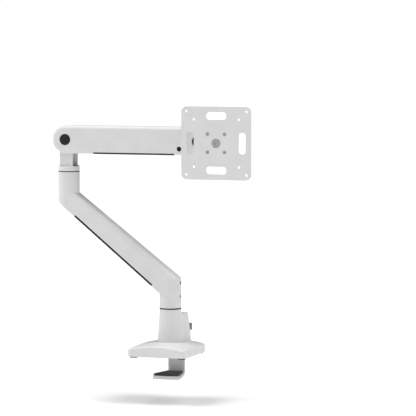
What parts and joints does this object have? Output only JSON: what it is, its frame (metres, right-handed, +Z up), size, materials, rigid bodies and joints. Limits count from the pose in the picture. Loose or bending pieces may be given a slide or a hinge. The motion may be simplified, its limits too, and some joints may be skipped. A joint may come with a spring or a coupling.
{
  "type": "monitor arm",
  "caption": "Desk-clamp monitor arm: domed clamp base, short column, bent lower strut, level spring arm and a tilting head with a square mounting plate.",
  "frame": {"origin": "on the column's axis, at the desk top, which is the underside of the base's rubber pads", "axes": "+Z up along the column, +X to the right of a person at the desk, +Y to the back of the desk; the screen side faces -Y"},
  "size_m": [0.354, 0.1258, 0.4415],
  "materials": {
    "white_cast": "matte white powder coat",
    "white_steel": "matte white powder coat",
    "white_plastic": "matte",
    "dark_plastic": "matte",
    "grey_plastic": "satin",
    "rubber": "matte",
    "steel": "brushed",
    "black_steel": "black oxide"
  },
  "bodies": {
    "base": {"base_plate": "black_steel", "base_cover": "white_cast", "base_screws": "steel", "desk_pads": "rubber", "post": "steel", "post_bolt": "steel", "column": "white_cast", "rear_cover": "white_plastic", "cable_clip": "grey_plastic", "swivel_washer": "dark_plastic"},
    "jaw": {"clamp_bracket": "white_steel", "jaw_pad": "rubber", "clamp_nut": "steel", "nut_screws": "steel"},
    "screw": {"clamp_screw": "steel"},
    "strut": {"strut": "white_cast", "strut_cable_cover": "dark_plastic", "strut_bush": "dark_plastic", "swivel_tension_screw": "black_steel", "post_retaining_screw": "black_steel", "elbow_bush": "dark_plastic", "elbow_washer": "dark_plastic", "elbow_tension_screw": "black_steel"},
    "turret": {"turret": "white_cast", "turret_shaft": "steel", "link_pin_rear": "steel", "spring_pin": "steel"},
    "arm": {"arm_housing": "white_cast", "arm_cable_cover": "dark_plastic", "lift_pins": "steel", "pin_caps": "dark_plastic", "pivot_washers": "dark_plastic", "spring_cylinder": "black_steel", "spring_anchor": "white_cast", "anchor_screws": "black_steel"},
    "spring_rod": {"spring_rod": "steel"},
    "link": {"parallel_link": "black_steel"},
    "knuckle": {"end_knuckle": "white_cast", "link_pin_front": "steel", "pan_washers": "dark_plastic"},
    "pan_head": {"pan_bracket": "white_steel", "pan_bolt": "steel", "pan_nut": "steel", "tilt_bolt": "steel", "tilt_nut": "steel"},
    "tilt_head": {"tilt_block": "white_cast", "tilt_washers": "dark_plastic"},
    "rotor": {"rotation_washer": "dark_plastic", "rotation_hub": "white_cast", "rotation_bolt": "steel", "vesa_plate": "white_steel", "plate_screws": "steel"}
  },
  "joints": [
    {"name": "jaw_slide", "type": "slide", "parent": "base", "child": "jaw", "axis": [0, 0, 1], "range_m": [-0.016, 0.016]},
    {"name": "clamp_screw_turn", "type": "hinge", "parent": "base", "child": "screw", "pos_m": [0, 0.0225, 0.03], "axis": [0, 0, 1], "range_deg": [-1925, 1925]},
    {"name": "strut_swivel", "type": "hinge", "parent": "base", "child": "strut", "pos_m": [0, 0, 0.1], "axis": [0, 0, 1], "range_deg": [-180, 180]},
    {"name": "elbow_swivel", "type": "hinge", "parent": "strut", "child": "turret", "pos_m": [-0.175, 0, 0.29], "axis": [0, 0, 1], "range_deg": [-180, 180]},
    {"name": "arm_lift", "type": "hinge", "parent": "turret", "child": "arm", "pos_m": [-0.175, 0, 0.345], "axis": [0, -1, 0], "range_deg": [-40, 40]},
    {"name": "link_turn", "type": "hinge", "parent": "turret", "child": "link", "pos_m": [-0.175, 0, 0.3575], "axis": [0, -1, 0], "range_deg": [-40, 40]},
    {"name": "spring_slide", "type": "slide", "parent": "arm", "child": "spring_rod", "axis": [1, 0, 0], "range_m": [-0.0092, 0.0092]},
    {"name": "knuckle_level", "type": "hinge", "parent": "arm", "child": "knuckle", "pos_m": [0.052, 0, 0.345], "axis": [0, -1, 0], "range_deg": [-40, 40]},
    {"name": "head_pan", "type": "hinge", "parent": "knuckle", "child": "pan_head", "pos_m": [0.098, 0, 0.345], "axis": [0, 0, 1], "range_deg": [-20, 200]},
    {"name": "head_tilt", "type": "hinge", "parent": "pan_head", "child": "tilt_head", "pos_m": [0.098, -0.038, 0.345], "axis": [-1, 0, 0], "range_deg": [-30, 60]},
    {"name": "plate_rotate", "type": "hinge", "parent": "tilt_head", "child": "rotor", "pos_m": [0.098, -0.055, 0.345], "axis": [0, -1, 0], "range_deg": [-90, 90]}
  ],
  "couplings": [
    {"joint": "clamp_screw_turn", "follows": "jaw_slide", "rad_per_m": 2094.4},
    {"joint": "link_turn", "follows": "arm_lift", "ratio": 1},
    {"joint": "spring_slide", "follows": "arm_lift", "m_per_rad": -0.01289},
    {"joint": "knuckle_level", "follows": "arm_lift", "ratio": -1}
  ]
}
